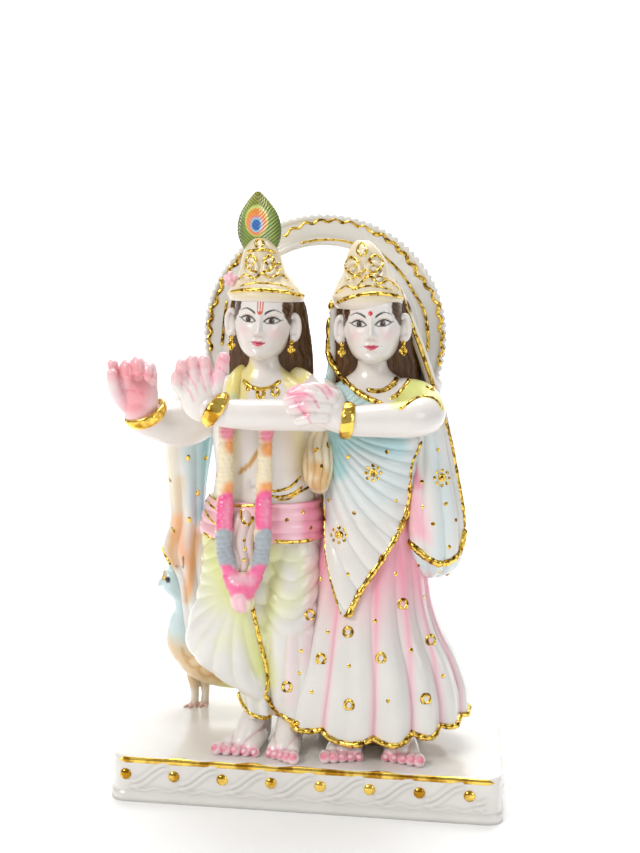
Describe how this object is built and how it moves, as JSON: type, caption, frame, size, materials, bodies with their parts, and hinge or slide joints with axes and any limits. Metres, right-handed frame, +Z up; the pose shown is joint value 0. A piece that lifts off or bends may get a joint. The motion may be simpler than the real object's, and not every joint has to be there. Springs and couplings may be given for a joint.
{
  "type": "radha krishna statue",
  "caption": "Painted marble-dust casting of a crowned couple standing under an arch with a peacock, on a rectangular plinth with a relief front.",
  "frame": {"origin": "centre of the plinth's underside", "axes": "+Z up, -Y is the front, +X is to the viewer's right when facing the front"},
  "size_m": [0.1671, 0.0988, 0.2506],
  "materials": {
    "glazed_cast_marble": "white marble-dust resin, polished, tinted with sprayed and brushed colour and gold, under a clear glaze"
  },
  "bodies": {
    "root": {"statue": "glazed_cast_marble"}
  },
  "joints": []
}
